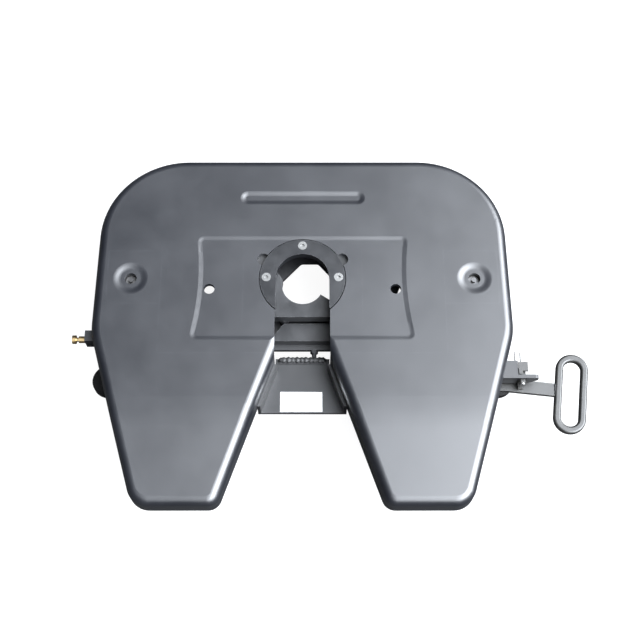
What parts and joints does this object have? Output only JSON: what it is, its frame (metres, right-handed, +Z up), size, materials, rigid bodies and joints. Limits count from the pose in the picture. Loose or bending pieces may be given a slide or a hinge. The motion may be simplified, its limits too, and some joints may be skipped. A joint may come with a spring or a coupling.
{
  "type": "fifth wheel hitch",
  "caption": "Fifth wheel hitch: tilting pressed coupling plate on two cast pedestals, with a sliding-bar hook-jaw lock, wear ring and side pull handle.",
  "frame": {"origin": "on the kingpin axis, level with the upper face of the coupling plate", "axes": "+X to the pull handle side, +Y to the front of the vehicle, +Z up"},
  "size_m": [1.1086, 0.785, 0.19],
  "materials": {
    "plate_paint": "satin near-black paint, dusty",
    "casting_paint": "painted casting, rough",
    "ring_steel": "dark satin, worn bright on edges",
    "bright_zinc": "bright zinc plate",
    "lock_steel": "dark grey paint over forged steel",
    "bare_steel": "oiled bare steel",
    "rubber": "matt",
    "brass": "dull brass",
    "label": "blank white label",
    "handle_paint": "grey-black paint, rubbed"
  },
  "bodies": {
    "pedestals": {"pedestal_left": "casting_paint", "pedestal_right": "casting_paint", "rubber_bush_left": "rubber", "rubber_bush_right": "rubber", "bush_sleeve_left": "bare_steel", "bush_sleeve_right": "bare_steel"},
    "jaw": {"jaw": "lock_steel"},
    "lever": {"lever": "lock_steel", "drive_pin": "bare_steel", "spring_stud": "bare_steel"},
    "lock_bar": {"lock_bar": "lock_steel"},
    "handle": {"handle_arm": "handle_paint", "handle_loop": "handle_paint", "handle_pin": "bare_steel"},
    "catch": {"safety_catch": "handle_paint", "catch_thumb": "handle_paint", "catch_pin": "bright_zinc"},
    "plate": {"top_plate": "plate_paint", "stiffener_ribs": "plate_paint", "cross_plate": "plate_paint", "guide_bracket": "plate_paint", "wear_ring": "ring_steel", "wear_ring_screws": "bright_zinc", "seat_plate": "plate_paint", "lock_housing": "plate_paint", "housing_spacers": "plate_paint", "housing_bolts": "bare_steel", "bar_guide_right": "lock_steel", "bar_guide_left": "lock_steel", "jaw_pin": "bare_steel", "lever_pin": "bare_steel", "lever_nut": "bright_zinc", "spring_post": "bare_steel", "closing_spring": "bare_steel", "catch_spring": "bare_steel", "blank_label": "label", "adjusting_screw": "bare_steel", "adjusting_locknut": "bare_steel", "lube_block": "lock_steel", "lube_fitting": "brass", "bearing_housing_left": "casting_paint", "bearing_housing_right": "casting_paint", "pivot_pin_left": "bare_steel", "pivot_pin_right": "bare_steel", "bearing_bolt_left": "bright_zinc", "bearing_bolt_right": "bright_zinc", "retaining_rings": "bare_steel"}
  },
  "joints": [
    {"name": "plate_tilt", "type": "hinge", "parent": "pedestals", "child": "plate", "pos_m": [0, 0, -0.075], "axis": [1, 0, 0], "range_deg": [-12, 12]},
    {"name": "lever_swing", "type": "hinge", "parent": "plate", "child": "lever", "pos_m": [0.23, 0.092, -0.054], "axis": [0, 0, 1], "range_deg": [0, 43.2], "stiffness_Nm_per_rad": 12, "springref_deg": -34.38, "deforming": ["closing_spring"]},
    {"name": "jaw_swing", "type": "hinge", "parent": "plate", "child": "jaw", "pos_m": [-0.105, 0.022, -0.0495], "axis": [0, 0, 1], "range_deg": [-55, 0]},
    {"name": "bar_slide", "type": "slide", "parent": "plate", "child": "lock_bar", "axis": [1, 0, 0], "range_m": [0, 0.13989]},
    {"name": "handle_swivel", "type": "hinge", "parent": "lever", "child": "handle", "pos_m": [0.11331, -0.20274, -0.075], "axis": [0, 0, 1], "range_deg": [-43.2, 0]},
    {"name": "catch_swing", "type": "hinge", "parent": "plate", "child": "catch", "pos_m": [0.465, -0.213, -0.048], "axis": [0, 1, 0], "range_deg": [0, 70], "stiffness_Nm_per_rad": 0.3, "springref_deg": -22.92}
  ],
  "couplings": [
    {"joint": "jaw_swing", "follows": "lever_swing", "ratio": -1.2731},
    {"joint": "bar_slide", "follows": "lever_swing", "m_per_rad": 0.18553},
    {"joint": "handle_swivel", "follows": "lever_swing", "ratio": -1}
  ]
}
